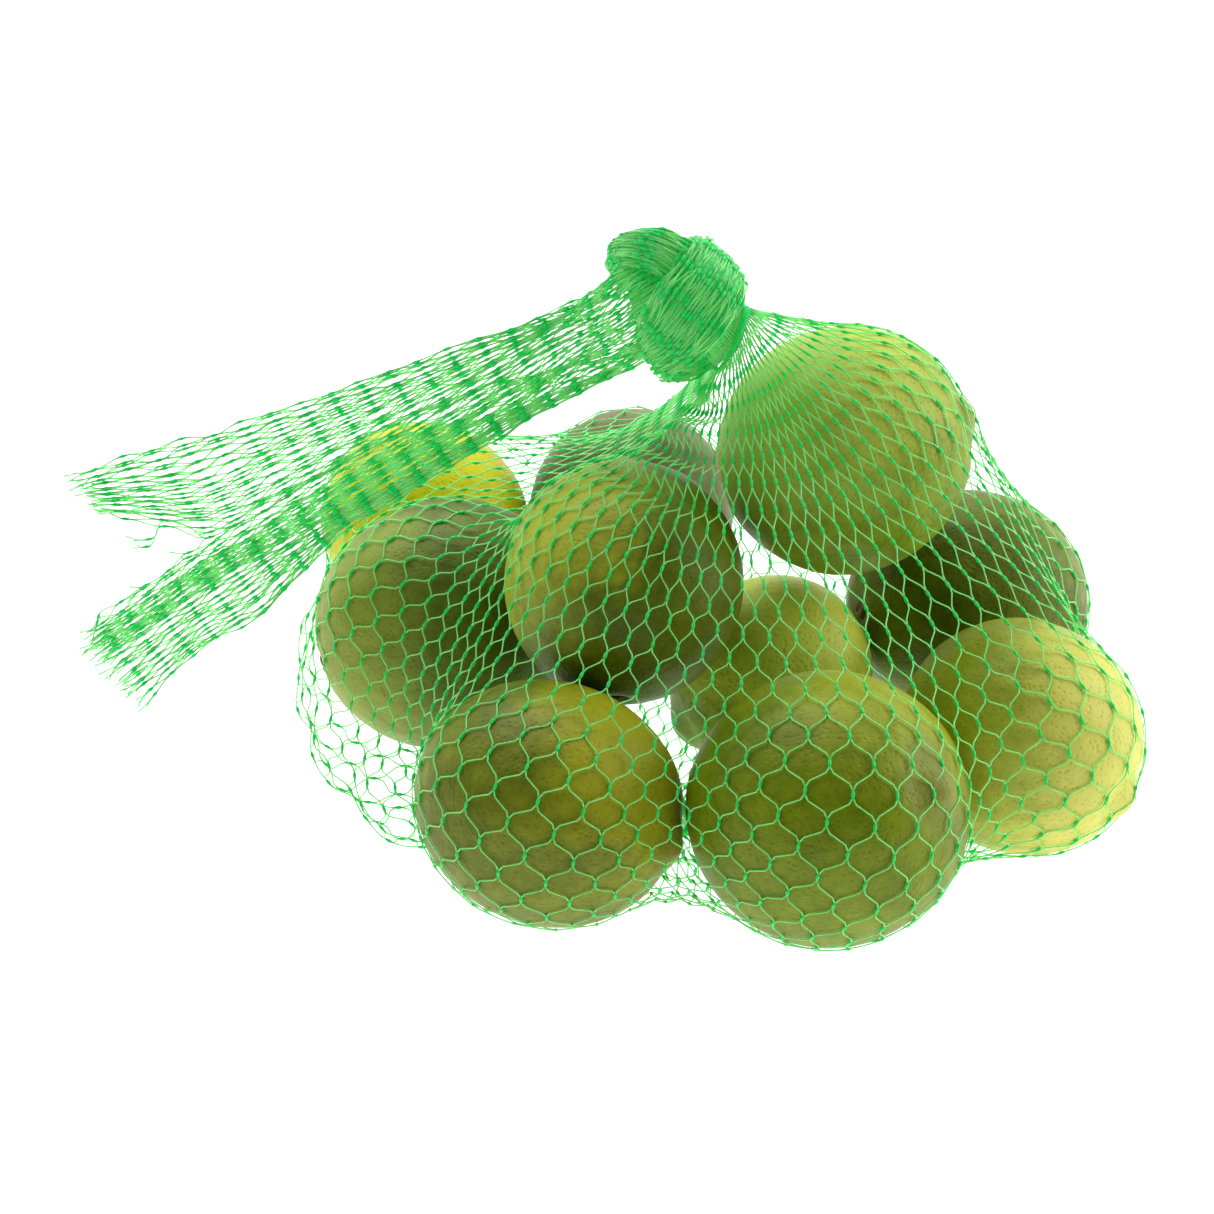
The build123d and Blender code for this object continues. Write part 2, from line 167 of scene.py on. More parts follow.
class Finish:
    """One material, whose nodes are made by node() and joined to its Principled shader by set()."""

    def __init__(self, name):
        self.material = bpy.data.materials.new(name)
        self.material.use_nodes = True
        self.tree = self.material.node_tree
        self.shader = self.tree.nodes["Principled BSDF"]

    def node(self, kind, settings=None, sockets=None, output=0):
        made = self.tree.nodes.new(kind)
        for key, value in (settings or {}).items():
            setattr(made, key, value)
        for key, value in (sockets or {}).items():
            self.join(made.inputs[key], value)
        return Wire(self, made.outputs[output])

    def join(self, socket, value):
        if isinstance(value, Wire):
            self.tree.links.new(value.socket, socket)
        else:
            socket.default_value = value

    def set(self, **values):
        for key, value in values.items():
            self.join(self.shader.inputs[key.replace("_", " ")], value)

    def places(self):
        """Where a point is on its own object."""
        return self.node("ShaderNodeTexCoord", output="Object")

    def stretched(self, scales):
        """Where a point is on its own object, drawn out along an axis."""
        return self.node("ShaderNodeVectorMath", {"operation": "MULTIPLY"}, {0: self.places(), 1: scales})

    def speckle(self, size_mm, detail=2.0, rough=0.5, where=None):
        """Noise from 0 to 1 whose blotches are about this size."""
        return self.node("ShaderNodeTexNoise", None,
                         {"Vector": where or self.places(), "Scale": 1 / (size_mm * MM),
                          "Detail": detail, "Roughness": rough})

    def fit(self, value, low, high):
        """A value from low to high becomes 0 to 1, smoothly."""
        return self.node("ShaderNodeMapRange", {"interpolation_type": "SMOOTHSTEP"},
                         {"Value": value, "From Min": low, "From Max": high})

    def tint(self, mask, dark, light):
        """From one colour to another as the mask goes from 0 to 1."""
        made = self.tree.nodes.new("ShaderNodeMix")
        made.data_type = "RGBA"
        self.join(made.inputs["Factor"], mask)
        for socket, colour in zip([s for s in made.inputs if s.type == "RGBA"], (dark, light)):
            self.join(socket, colour if isinstance(colour, Wire) else (*colour, 1.0))
        return Wire(self, next(s for s in made.outputs if s.type == "RGBA"))

    def bump(self, height, depth_mm):
        return self.node("ShaderNodeBump", None, {"Height": height, "Distance": depth_mm * MM, "Strength": 1.0})


# %% [markdown]
# ## Camera, table and light
# The bag stands on a white light table with a bright backdrop behind and overhead, and the room in front is dim.
# So the limes are bright round their edges and underneath, deep in the middle, and there is hardly a shadow.
# A long lens keeps the heap's proportions.

# %% Camera
CAMERA_DROP = radians(31.1)
CAMERA_DISTANCE = 0.715
CAMERA_AIM = Vector((-0.01707, 0.0041, 0.040))
CAMERA_LENS = 92.5
CAMERA_SHIFT = (-0.024, -0.004)
UP_VIEW = np.array([0.0, sin(CAMERA_DROP), cos(CAMERA_DROP)])
TO_VIEWER = np.array([0.0, -cos(CAMERA_DROP), sin(CAMERA_DROP)])

eye = bpy.data.objects.new("camera", bpy.data.cameras.new("camera"))
eye.data.lens = CAMERA_LENS
eye.data.sensor_width = 36.0
eye.data.shift_x, eye.data.shift_y = CAMERA_SHIFT
eye.location = CAMERA_AIM + Vector(TO_VIEWER) * CAMERA_DISTANCE
eye.rotation_euler = (pi / 2 - CAMERA_DROP, 0.0, 0.0)
bpy.context.scene.collection.objects.link(eye)
bpy.context.scene.camera = eye

# %% Light table
TABLE_HALF = 3000.0
table = make_piece("table", np.array([[-1, -1, 0], [1, -1, 0], [1, 1, 0], [-1, 1, 0]]) * TABLE_HALF,
                   [np.array([[0, 1, 2, 3]])])
white = Finish("light_table")
white.set(Base_Color=(0.25, 0.25, 0.25, 1.0), Roughness=0.9,
          Emission_Color=(1.0, 1.0, 1.0, 1.0), Emission_Strength=1.3)
table.data.materials.append(white.material)

# %% Light
DARK_SIDE, BRIGHT_SIDE = 0.02, 1.25
DARK_FROM, BRIGHT_FROM = -0.25, 0.85
BACKDROP = (0.10, 0.95, 0.30)
world = bpy.data.worlds.new("studio")
world.use_nodes = True
sky = world.node_tree
heading = sky.nodes.new("ShaderNodeTexCoord")
facing = sky.nodes.new("ShaderNodeVectorMath")
facing.operation = "DOT_PRODUCT"
facing.inputs[1].default_value = BACKDROP
strength = sky.nodes.new("ShaderNodeMapRange")
strength.interpolation_type = "SMOOTHSTEP"
for socket, value in (("From Min", DARK_FROM), ("From Max", BRIGHT_FROM),
                      ("To Min", DARK_SIDE), ("To Max", BRIGHT_SIDE)):
    strength.inputs[socket].default_value = value
sky.links.new(heading.outputs["Generated"], facing.inputs[0])
sky.links.new(facing.outputs["Value"], strength.inputs["Value"])
sky.links.new(strength.outputs["Result"], sky.nodes["Background"].inputs["Strength"])
sky.nodes["Background"].inputs["Color"].default_value = (1.0, 1.0, 1.0, 1.0)
bpy.context.scene.world = world
bpy.context.scene.view_settings.view_transform = "Standard"


def add_panel(name, place, aim, size, power):
    """A square soft light at a place in metres, turned to face a point."""
    panel = bpy.data.objects.new(name, bpy.data.lights.new(name, "AREA"))
    panel.data.size = size
    panel.data.energy = power
    panel.location = place
    panel.rotation_euler = (Vector(aim) - Vector(place)).to_track_quat("-Z", "Y").to_euler()
    bpy.context.scene.collection.objects.link(panel)


add_panel("panel_over", (-0.25, 0.45, 0.8), (0.0, 0.0, 0.03), 0.7, 4.0)
add_panel("panel_right", (0.8, 0.1, 0.35), (0.0, 0.0, 0.05), 0.5, 3.0)

# %% [markdown]
# ## Limes
# A lime is nearly an egg of revolution with a raised tip at the blossom end and a shallow pit at the stem end.
# Each one can roll inside the net about its own length, so it has to stay round about that axis, and all
# its lumps are smaller than the slack of the net. The frame gives the axis and the size.

# %% What the frame says of each lime
PIT_RADIUS = 2.75


class Lime:
    """Centre, axis, radius and half length of a lime in millimetres."""

    def __init__(self, joint):
        self.name = joint["name"].removeprefix("turn_")
        self.body = joint["child"]
        self.centre = np.array(joint["pos_m"]) / MM
        self.axis = unit(np.array(joint["axis"]))
        offset = node_points("lime_" + self.name) - self.centre
        along = offset @ self.axis
        self.radius = np.linalg.norm(offset - along[:, None] * self.axis, axis=1).max()
        self.half = -along.min() / sqrt(1 - (PIT_RADIUS / self.radius) ** 2)

    def place(self):
        turn = Vector(self.axis).to_track_quat("Z", "Y")
        return Matrix.Translation(Vector(self.centre * MM)) @ turn.to_matrix().to_4x4()


limes = [Lime(joint) for joint in frame["joints"] if joint["name"].startswith("turn_")]
for lime in limes:
    print(lime.name, "radius", round(lime.radius, 1), "half length", round(lime.half, 1))

# %% [markdown]
# The surface is a grid of rings round the axis. The profile carries the tip and the pit, and two sizes of
# noise push the skin in and out: broad lumps, and the fine orange-peel dimples round the oil glands.
# Dimples in the mesh rather than only in the material make the highlights break up as they do on real peel.

# %% Lime shape
AROUND = 128
ALONG = 88
NIPPLE_RISE = 1.5
NIPPLE_SPREAD = 4.4
COLLAR_RADIUS = 7.6
COLLAR_SPREAD = 2.6
COLLAR_DEPTH = 0.45
PIT_DEPTH = 1.3
PIT_SPREAD = 3.4
BROAD_LUMP = 17.0
FINE_LUMP = 2.6


def lime_profile(lime):
    """Radius and height of the rings from the stem end to the blossom end."""
    turn = np.linspace(0, pi, ALONG + 1)
    across = lime.radius * np.sin(turn)
    height = -lime.half * np.cos(turn)
    upper = height > 0
    height = height + upper * NIPPLE_RISE * np.exp(-(across / NIPPLE_SPREAD) ** 2)
    height = height - upper * COLLAR_DEPTH * np.exp(-((across - COLLAR_RADIUS) / COLLAR_SPREAD) ** 2)
    height = height + ~upper * PIT_DEPTH * np.exp(-(across / PIT_SPREAD) ** 2)
    return across, height


def make_lime(lime, lumps, dimples, seed):
    """A lime's skin: lumps and dimples in millimetres."""
    across, height = lime_profile(lime)
    turn = 2 * pi * np.arange(AROUND) / AROUND
    rings = np.stack([np.outer(across[1:-1], np.cos(turn)), np.outer(across[1:-1], np.sin(turn)),
                      np.repeat(height[1:-1, None], AROUND, axis=1)], axis=-1)
    points, faces = closed_rings([0, 0, height[0]], rings, [0, 0, height[-1]])
    outward = unit(points / np.array([lime.radius, lime.radius, lime.half]) ** 2)
    shift = Vector((seed * 31.7, seed * 17.3, seed * 5.1))
    push = np.array([lumps * noise.noise(Vector(p) / BROAD_LUMP + shift)
                     + dimples * noise.noise(Vector(p) / FINE_LUMP + shift) for p in points])
    return make_piece("peel_" + lime.name, points + outward * push[:, None], faces, lime.place())


# %% [markdown]
# Peel is green skin under a thin wax. It goes yellow near the tip, and lighter and yellower towards one side,
# which is partly where the lime ripened and partly painted light where the lime is lit. It is peppered with
# darker glands.
# Gland pits are a Voronoi pattern in the bump, and the wax is a faint coat.

# %% Peel finish
# how far the lighter, yellower side spreads: partly ripening, partly painted light
RIPE_AND_LIT_SIZE = 27.0
GLAND_SIZE = 1.15
SCAR_BROWN = (0.19, 0.14, 0.05)
TIP_FROM, TIP_TO = 26.2, 30.5
TIP_YELLOW = (0.30, 0.27, 0.09)


def peel_finish(name, deep, mid, ripe_and_lit, ripe_and_lit_side, ripe_and_lit_from, ripe_and_lit_to, scuff):
    """Green skin that goes lighter and yellower towards one side, partly from ripening and partly painted light
    where it is lit. Colours are linear, and that side is a direction on the lime.
    """
    peel = Finish("peel_" + name)
    where = peel.places()
    mottle = peel.speckle(15.0, 3.0, 0.6, where)
    grain = peel.speckle(2.6, 3.0, 0.6, where)
    towards = tuple(unit(np.array(ripe_and_lit_side, float)) / (RIPE_AND_LIT_SIZE * MM))
    facing = peel.node("ShaderNodeVectorMath", {"operation": "DOT_PRODUCT"}, {0: where, 1: towards},
                       output="Value")
    # painted light: towards this side the peel turns lighter and yellower, partly for ripening and partly where
    # the lime is lit
    ripeness_and_light = peel.fit(facing + (mottle - 0.5) * 0.9 + (grain - 0.5) * 0.25, ripe_and_lit_from, ripe_and_lit_to)
    skin = peel.tint(peel.fit(mottle * 0.65 + grain * 0.35, 0.32, 0.68), deep, mid)
    skin = peel.tint(ripeness_and_light, skin, ripe_and_lit)
    glands = peel.node("ShaderNodeTexVoronoi", {"feature": "F1"},
                       {"Vector": where, "Scale": 1 / (GLAND_SIZE * MM)}, output="Distance")
    gland = 1.0 - peel.fit(glands, 0.05, 0.42)
    skin = peel.tint(gland * 0.22, skin, tuple(0.55 * c for c in deep))
    scar = peel.fit(peel.speckle(7.0, 5.0, 0.72, where), 0.70 - scuff, 0.76 - scuff)
    skin = peel.tint(scar * 0.55, skin, SCAR_BROWN)
    tip = peel.node("ShaderNodeSeparateXYZ", None, {0: where}, output="Z")
    skin = peel.tint(peel.fit(tip, TIP_FROM * MM, TIP_TO * MM) * 0.35, skin, TIP_YELLOW)
    peel.set(Base_Color=skin, Roughness=0.45 + (grain - 0.5) * 0.16 + scar * 0.2,
             Normal=peel.bump(peel.fit(glands, 0.0, 0.55) + grain * 0.5, 0.10),
             Coat_Weight=0.04 - scar * 0.03, Coat_Roughness=0.3, Specular_IOR_Level=0.2)
    return peel.material


# Colours are linear, and the third is the ripe colour, which also carries painted light. After them: side that
# ripens and is lit, from where to where, scuffing, lumps and dimples in mm.
PEELS = {
    "front_right": ((0.150, 0.215, 0.002), (0.255, 0.335, 0.006), (0.42, 0.47, 0.03), (0.5, 0.6, 0.5),
                    0.35, 1.3, 0.02, 0.35, 0.10),
    "front_left": ((0.140, 0.185, 0.007), (0.260, 0.310, 0.016), (0.46, 0.45, 0.015), (0.1, 0.8, 0.7),
                   0.25, 1.1, 0.04, 0.35, 0.18),
    "right": ((0.31, 0.36, 0.008), (0.47, 0.52, 0.02), (0.78, 0.78, 0.15), (0.1, 0.4, 0.9),
              -0.25, 0.9, 0.02, 0.35, 0.10),
    "left": ((0.068, 0.105, 0.005), (0.135, 0.185, 0.014), (0.36, 0.43, 0.05), (0.0, 0.4, -0.9),
             -0.2, 1.1, 0.05, 0.4, 0.20),
    "top_mid": ((0.120, 0.155, 0.003), (0.215, 0.260, 0.008), (0.62, 0.68, 0.06), (0.8, 0.5, 0.4),
                0.1, 1.1, 0.03, 0.35, 0.12),
    "top_right": ((0.19, 0.27, 0.008), (0.32, 0.44, 0.02), (0.58, 0.70, 0.10), (0.0, 1.0, -0.2),
                  -0.4, 0.8, 0.01, 0.3, 0.08),
    "back_right": ((0.095, 0.125, 0.004), (0.185, 0.235, 0.012), (0.30, 0.37, 0.06), (0.3, 0.2, 0.9),
                   0.2, 1.2, 0.05, 0.35, 0.16),
    "middle": ((0.20, 0.26, 0.005), (0.38, 0.46, 0.02), (0.82, 0.88, 0.10), (0.2, 0.9, -0.4),
               -0.1, 0.7, 0.02, 0.3, 0.10),
    "back_left": ((0.46, 0.47, 0.003), (0.66, 0.63, 0.006), (0.85, 0.75, 0.01), (0.6, 0.7, 0.2),
                  -0.3, 0.7, 0.03, 0.35, 0.12),
    "back_mid": ((0.095, 0.105, 0.020), (0.170, 0.180, 0.045), (0.24, 0.24, 0.08), (0.2, 0.5, 0.8),
                 0.0, 1.1, 0.06, 0.4, 0.20),
}

for number, lime in enumerate(limes):
    deep, mid, ripe_and_lit, side, start, stop, scuff, lumps, dimples = PEELS[lime.name]
    peel = make_lime(lime, lumps, dimples, number + 1)
    peel.data.materials.append(peel_finish(lime.name, deep, mid, ripe_and_lit, side, start, stop, scuff))
    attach(peel, lime.body)
    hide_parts("lime_" + lime.name)
print("limes", len(limes))

# %% [markdown]
# ## Stem buttons
# Where the stalk broke off, a small woody cap is left: five blunt lobes round a paler scar.
# A cap is a ring grid like the lime, whose radius swells and shrinks five times round.

# %% Button shape and finish
# radius and height of each ring, from the scar round the rim to the underside
BUTTON_RINGS = [(0.0, -0.62), (0.5, -0.66), (1.0, -0.85), (1.35, -1.0), (1.9, -0.92), (2.35, -0.55),
                (2.55, -0.05), (2.3, 0.5), (1.2, 0.8), (0.0, 0.85)]
LOBES = 5
BUTTON_AROUND = 40


def button_finish():
    wood = Finish("stem_button")
    grain = wood.speckle(0.7, 4.0, 0.7)
    patch = wood.speckle(2.2, 2.0)
    shade = wood.tint(wood.fit(grain, 0.3, 0.7), (0.085, 0.045, 0.018), (0.26, 0.17, 0.075))
    shade = wood.tint(wood.fit(patch, 0.45, 0.75) * 0.6, shade, (0.16, 0.17, 0.05))
    wood.set(Base_Color=shade, Roughness=0.78, Normal=wood.bump(grain, 0.14))
    return wood.material


def make_button(lime, seed):
    turn = 2 * pi * np.arange(BUTTON_AROUND) / BUTTON_AROUND
    base = -lime.half + PIT_DEPTH
    rings = []
    for radius, height in BUTTON_RINGS[1:-1]:
        lobe = 1 + 0.10 * np.cos(LOBES * turn + seed) + 0.03 * np.sin(3 * turn + 2 * seed)
        rings.append(np.stack([radius * lobe * np.cos(turn), radius * lobe * np.sin(turn),
                               base + height + 0.08 * np.sin(4 * turn + seed)], axis=-1))
    low, high = BUTTON_RINGS[0][1], BUTTON_RINGS[-1][1]
    points, faces = closed_rings([0, 0, base + low], np.array(rings), [0, 0, base + high])
    return make_piece("button_" + lime.name, points, faces, lime.place())


wood = button_finish()
for number, lime in enumerate(limes):
    button = make_button(lime, float(number))
    button.data.materials.append(wood)
    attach(button, lime.body)
    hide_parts("stem_button_" + lime.name)

# %% [markdown]
# ## The net as a lattice
# A knotless net is extruded as two sets of strands that weld together where they cross. So it is a lattice:
# rows of welded joints, each row half a mesh round from the one above, and two strands down from every joint.
# The sleeve starts as an even lattice on the tight wrap round the limes, and a short simulation lets it settle:
# strands pull, the limes and the table push back, gravity draws the spare net down. Cloth simulation would need
# a mesh of faces and would stiffen the open cells, so the springs run along the strands themselves.
# The spare net is not left to the springs alone: a few holds and pulls are placed to shape its folds,
# and the settling stops after a set number of rounds, which was chosen by its look.

# %% Size of the lattice
MESHES_ROUND = 64
ROWS = 38
STRAND = 7.4
MOUTH_CENTRE = np.array([3.5, 1.0, 108.5])
MOUTH_UP = np.array([0.42, 0.0, 0.907])
MOUTH_HALF = 8.0
MOUTH_DEPTH = 5.5
HEAP_MIDDLE = np.array([0.0, 0.0, 42.0])
clip_low, clip_high = (np.array(corner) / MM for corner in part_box("bottom_clip"))
CLIP = np.array([*((clip_low + clip_high) / 2)[:2], 0.0])
GATHER_HEIGHT = 10.5
GATHER_RADIUS = 3.2
WRAP_GAP = 0.8
WRAP_WAYS = 3000
WRAP_LOOSE = 1.01
WRAP_FLOOR = 0.3
DROP_FROM, DROP_TO, DROP_STEPS = 0.03, 0.98, 241


def mouth(turn):
    """Where the net leaves the knot, by the heading of each strand."""
    return (MOUTH_CENTRE + MOUTH_HALF * np.cos(turn)[:, None] * MOUTH_UP
            + MOUTH_DEPTH * np.sin(turn)[:, None] * np.array([0.0, 1.0, 0.0]))


def even_directions(count):
    """Unit vectors spread evenly over a sphere."""
    turn = pi * (3 - sqrt(5)) * np.arange(count)
    height = 1 - (2 * np.arange(count) + 1) / count
    ring = np.sqrt(1 - height ** 2)
    return np.column_stack([ring * np.cos(turn), ring * np.sin(turn), height])


def wrap_distance(ways, centre):
    """How far the tight wrap round the limes and the mouth is from a centre, each way."""
    faces = even_directions(WRAP_WAYS)
    reach = (faces @ mouth(np.linspace(0, 2 * pi, 24)).T).max(axis=1)
    for lime in limes:
        along = faces @ lime.axis
        skin = np.sqrt(lime.radius ** 2 * (1 - along ** 2) + lime.half ** 2 * along ** 2)
        reach = np.maximum(reach, faces @ lime.centre + skin + WRAP_GAP)
    facing = ways @ faces.T
    room = reach - faces @ centre
    return np.where(facing > 1e-3, room / np.maximum(facing, 1e-3), 1e9).min(axis=1)


def even_lattice():
    """Joints spaced evenly down the tight wrap, from the mouth to the gather."""
    up = unit(MOUTH_CENTRE - HEAP_MIDDLE)
    down = unit(CLIP - HEAP_MIDDLE)
    drop = np.linspace(DROP_FROM, DROP_TO, DROP_STEPS) * pi
    pole = np.where((drop < pi / 2)[:, None], up, -down)
    lattice = np.zeros((ROWS + 1, MESHES_ROUND, 3))
    for odd in (0, 1):
        turn = 2 * pi * (np.arange(MESHES_ROUND) + 0.5 * odd) / MESHES_ROUND
        level = np.stack([np.cos(turn), np.sin(turn), 0 * turn], axis=-1)
        ways = unit(np.cos(drop)[None, :, None] * pole + np.sin(drop)[None, :, None] * level[:, None])
        far = wrap_distance(ways.reshape(-1, 3), HEAP_MIDDLE).reshape(ways.shape[:2])
        line = HEAP_MIDDLE + ways * far[..., None] * WRAP_LOOSE
        line[..., 2] = np.maximum(line[..., 2], WRAP_FLOOR)
        foot = CLIP + GATHER_RADIUS * level + np.array([0.0, 0.0, GATHER_HEIGHT])
        line = np.concatenate([mouth(turn)[:, None], line, foot[:, None]], axis=1)
        run = np.concatenate([np.zeros((MESHES_ROUND, 1)),
                              np.cumsum(np.linalg.norm(np.diff(line, axis=1), axis=-1), axis=1)], axis=1)
        for column in range(MESHES_ROUND):
            wanted = np.linspace(0, run[column, -1], ROWS + 1)[odd::2]
            lattice[odd::2, column] = np.stack([np.interp(wanted, run[column], line[column, :, k])
                                                for k in range(3)], axis=-1)
    return lattice


# %% Settling the net
def other_below(lattice):
    """For every joint but the last row's, the second joint that its strands run down to."""
    below = lattice[1:].copy()
    below[0::2] = np.roll(lattice[1:][0::2], 1, axis=1)
    below[1::2] = np.roll(lattice[1:][1::2], -1, axis=1)
    return below


def handed_back(pull):
    """Pulls of the second strands, moved to the joints at their lower ends."""
    moved = pull.copy()
    moved[0::2] = np.roll(pull[0::2], -1, axis=1)
    moved[1::2] = np.roll(pull[1::2], 1, axis=1)
    return moved


SETTLE_ROUNDS = 500
STEP = 0.6
NEARLY_STRAIGHT = 0.9
SLACK_STIFFNESS = 0.1
PUSH_STIFFNESS = 0.015
EVENNESS = 0.05
WEIGHT = 0.02
# round holds, listed one by one, that keep the spare net's folds open on the left, and keep it out from under
# there
SLACK_HOLDS = [((-83, 26, 15), 15.0), ((-82, 8, 13), 15.0), ((-77, -10, 12), 15.0), ((-66, -28, 11), 14.0)]
SLACK_SIDE = -48.0
SKIRT = 0.72
SKIRT_FROM = 3.0
SKIRT_LIMES = ("left", "front_left")
# given: an extra sag over the hollow behind the top limes, and a pull in towards the clip on the table
TUCK = 0.06
TUCK_LOW = np.array([-45.0, -2.0, 58.0])
TUCK_HIGH = np.array([-2.0, 55.0, 200.0])
GATHER_PULL = 0.04
GATHER_BELOW = 5.0
JOINT_GAP = 0.5
TABLE_GAP = 0.5
# which end of a lime, how far its tip or button stands out, and how large that is
LIME_ENDS = ((1, NIPPLE_RISE, 5.0), (-1, 0.6, 3.0))


def pushed_out(points, gap, skirt=False):
    """Points inside a lime or its tip are moved out to its skin plus a gap."""
    for lime in limes:
        offset = points - lime.centre
        along = offset @ lime.axis
        across = (offset ** 2).sum(axis=1) - along ** 2
        depth = np.sqrt(across / (lime.radius + gap) ** 2 + along ** 2 / (lime.half + gap) ** 2)
        inside = depth < 1
        points[inside] = lime.centre + offset[inside] / depth[inside, None]
        for end, rise, size in LIME_ENDS:
            knob = lime.centre + lime.axis * end * (lime.half + rise - size)
            offset = points - knob
            far = np.linalg.norm(offset, axis=1)
            inside = far < size + gap
            points[inside] = knob + offset[inside] / far[inside, None] * (size + gap)
        if skirt and lime.name in SKIRT_LIMES:
            offset = points - lime.centre
            level = np.linalg.norm(offset[:, :2], axis=1)
            inside = (level < lime.radius * SKIRT) & (points[:, 0] < SLACK_SIDE)
            inside &= (points[:, 2] > SKIRT_FROM) & (points[:, 2] < lime.centre[2])
            points[inside, :2] = lime.centre[:2] + offset[inside, :2] / level[inside, None] * lime.radius * SKIRT
    return points


def strand_pull(run):
    """How hard a strand pulls its ends together: hard when stretched, gently when nearly straight."""
    length = np.linalg.norm(run, axis=-1, keepdims=True)
    slack = np.minimum(length, STRAND) - NEARLY_STRAIGHT * STRAND
    pull = np.maximum(length - STRAND, 0) + np.where(slack > 0, SLACK_STIFFNESS, PUSH_STIFFNESS) * slack
    return run / np.maximum(length, 1e-6) * pull * 0.5


def settle(lattice):
    """The lattice after every joint has moved, many times, a little way along the pull on it."""
    for _ in range(SETTLE_ROUNDS):
        first = strand_pull(lattice[1:] - lattice[:-1])
        second = strand_pull(other_below(lattice) - lattice[:-1])
        pull = np.zeros_like(lattice)
        pull[:-1] += first + second
        pull[1:] -= first + handed_back(second)
        beside = (np.roll(lattice, 1, axis=1) + np.roll(lattice, -1, axis=1)) / 2 - lattice
        pull += EVENNESS * beside
        pull[2:-2] += EVENNESS * ((lattice[4:] + lattice[:-4]) / 2 - lattice[2:-2])
        lattice = lattice.copy()
        lattice[1:-1] += STEP * pull[1:-1]
        free = lattice[1:-1].reshape(-1, 3)
        free[:, 2] -= WEIGHT
        hollow = ((free > TUCK_LOW) & (free < TUCK_HIGH)).all(axis=1)
        free[hollow, 2] -= TUCK
        under = (free[:, 2] < GATHER_BELOW) & (free[:, 0] > SLACK_SIDE)
        free[under, :2] -= GATHER_PULL * unit(free[under, :2] - CLIP[:2])
        free = pushed_out(free, JOINT_GAP, skirt=True)
        for centre, size in SLACK_HOLDS:
            offset = free - np.array(centre)
            far = np.linalg.norm(offset, axis=1)
            inside = far < size
            free[inside] = np.array(centre) + offset[inside] / far[inside, None] * size
        free[:, 2] = np.maximum(free[:, 2], TABLE_GAP)
        lattice[1:-1] = free.reshape(lattice[1:-1].shape)
    return lattice


bag = settle(even_lattice())
lengths = np.linalg.norm(bag[1:] - bag[:-1], axis=-1)
print("net joints", bag.shape[0] * bag.shape[1], "strand lengths", np.percentile(lengths, [5, 50, 95]).round(2))

# %% [markdown]
# ## Strands and joints
# Between two joints a strand leaves along the sleeve and bows over to the next one, so the cells look like
# rounded hexagons. Each strand is a thin capped tube on such a curve, and each joint is a short spindle where
# the two strands lie welded side by side. An attribute says how near a point is to a joint, for the colour.

# %% Tubes
def tubes(paths, radii, sides):
    """Points and faces of capped tubes along many paths at once."""
    count, steps = paths.shape[:2]
    run = unit(np.gradient(paths, axis=1))
    helper = np.eye(3)[np.argmin(np.abs(run[:, 0]), axis=1)]
    side = np.empty_like(paths)
    carried = unit(np.cross(run[:, 0], helper))
    for step in range(steps):
        carried = unit(carried - (carried * run[:, step]).sum(axis=-1, keepdims=True) * run[:, step])
        side[:, step] = carried
    other = np.cross(run, side)
    turn = 2 * pi * np.arange(sides) / sides
    spoke = (np.cos(turn)[:, None] * side[:, :, None] + np.sin(turn)[:, None] * other[:, :, None])
    points = paths[:, :, None] + radii[:, :, None, None] * spoke
    index = np.arange(count * steps * sides).reshape(count, steps, sides)
    caps = np.concatenate([index[:, 0, ::-1], index[:, -1]])
    return points.reshape(-1, 3), [ring_walls(index), caps]


def joined(parts):
    """Several (points, faces, mark) groups as one."""
    points, faces, marks, start = [], [], [], 0
    for part_points, part_faces, mark in parts:
        points.append(part_points)
        faces += [f + start for f in part_faces]
        marks.append(mark)
        start += len(part_points)
    return np.vstack(points), faces, np.concatenate(marks)


# %% Net from a lattice
JOINT_HALF = 0.75
JOINT_REACH = 1.05
JOINT_RADII = np.array([0.17, 0.33, 0.43, 0.33, 0.17])
STRAND_RADII = np.array([0.20, 0.16, 0.145, 0.16, 0.20])
STRAND_MARKS = np.array([0.45, 0.1, 0.0, 0.1, 0.45])
STRAND_SIDES = 5
JOINT_SIDES = 6
STRAND_GAP = 0.3


def along_sleeve(lattice):
    """The direction down the rows at every joint."""
    below = np.zeros_like(lattice)
    below[:-1] = (lattice[1:] + other_below(lattice)) / 2 - lattice[:-1]
    above = np.zeros_like(lattice)
    above[1:] = lattice[1:] - (lattice[:-1] + handed_back(lattice[:-1])) / 2
    return unit(below + above)


def strand_paths(lattice, down, second):
    """Bowed paths of all first or all second strands."""
    share = np.linspace(0, 1, len(STRAND_RADII))[:, None]
    lower = other_below(lattice) if second else lattice[1:]
    way_out = other_below(down) if second else down[1:]
    start = (lattice[:-1] + down[:-1] * JOINT_HALF)[..., None, :]
    stop = (lower - way_out * JOINT_HALF)[..., None, :]
    gap = np.linalg.norm(stop - start, axis=-1, keepdims=True)
    return ((2 * share ** 3 - 3 * share ** 2 + 1) * start + (3 * share ** 2 - 2 * share ** 3) * stop
            + (share ** 3 - 2 * share ** 2 + share) * gap * down[:-1][..., None, :]
            + (share ** 3 - share ** 2) * gap * way_out[..., None, :])


def strand_group(paths):
    """Tubes with the strand's radii and marks along paths of five points."""
    points, faces = tubes(paths, np.broadcast_to(STRAND_RADII, paths.shape[:2]), STRAND_SIDES)
    return points, faces, np.repeat(np.tile(STRAND_MARKS, len(paths)), STRAND_SIDES)


